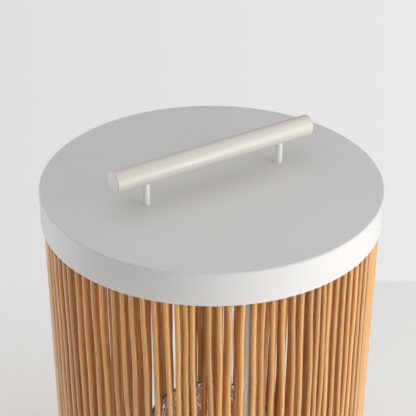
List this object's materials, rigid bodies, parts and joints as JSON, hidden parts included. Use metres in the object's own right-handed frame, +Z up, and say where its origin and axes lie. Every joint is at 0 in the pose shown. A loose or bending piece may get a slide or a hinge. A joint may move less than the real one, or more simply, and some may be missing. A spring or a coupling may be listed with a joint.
{
  "type": "garden lantern",
  "caption": "Round corded garden lantern: wire cage wound with vertical cord, lift-off metal lid with a bar handle, and a loose candle in an open glass.",
  "frame": {"origin": "centre of the underside, on the floor that the four feet stand on", "axes": "+Z up along the lantern's axis, +X along the handle bar"},
  "size_m": [0.28, 0.28, 0.46],
  "materials": {
    "lid_coat": "matt white powder coat",
    "tray_coat": "matt white powder coat",
    "handle_cream": "satin cream paint",
    "post_white": "satin white paint",
    "cage_white": "satin white powder coat",
    "cord_tan": "twisted natural cord, outer layer",
    "cord_inner_tan": "twisted natural cord, inner layer",
    "foot_rubber": "matt black rubber",
    "zinc_screw": "zinc plated",
    "zinc_washer": "zinc plated",
    "pad_felt": "grey pressed felt",
    "clear_glass": "clear hammered glass",
    "candle_wax": "ivory paraffin wax",
    "wick_cotton": "waxed braided cotton"
  },
  "bodies": {
    "frame": {"base_tray": "tray_coat", "foot_1": "foot_rubber", "foot_2": "foot_rubber", "foot_3": "foot_rubber", "foot_4": "foot_rubber", "foot_screw_1": "zinc_screw", "foot_screw_2": "zinc_screw", "foot_screw_3": "zinc_screw", "foot_screw_4": "zinc_screw", "cage_stud_1": "cage_white", "cage_stud_2": "cage_white", "cage_stud_3": "cage_white", "cage_stud_4": "cage_white", "bottom_ring": "cage_white", "upright_1": "cage_white", "upright_2": "cage_white", "upright_3": "cage_white", "upright_4": "cage_white", "top_ring": "cage_white", "cord_outer_strands": "cord_tan", "cord_inner_strands": "cord_inner_tan", "cord_top_loops": "cord_tan", "cord_bottom_loops": "cord_tan", "glass_ring": "cage_white", "glass_pad": "pad_felt"},
    "lid": {"lid_cap": "lid_coat", "handle_bar": "handle_cream", "handle_post_left": "post_white", "handle_post_right": "post_white", "handle_screw_left": "zinc_screw", "handle_screw_right": "zinc_screw", "handle_washer_left": "zinc_washer", "handle_washer_right": "zinc_washer"},
    "glass": {"glass_hurricane": "clear_glass"},
    "candle": {"candle": "candle_wax", "wick": "wick_cotton"}
  },
  "joints": [
    {"name": "lid_lift", "type": "slide", "parent": "frame", "child": "lid", "axis": [0, 0, 1], "range_m": [0, 0.15]},
    {"name": "glass_lift", "type": "slide", "parent": "frame", "child": "glass", "axis": [0, 0, 1], "range_m": [0, 0.1]},
    {"name": "candle_lift", "type": "slide", "parent": "glass", "child": "candle", "axis": [0, 0, 1], "range_m": [0, 0.17]}
  ]
}
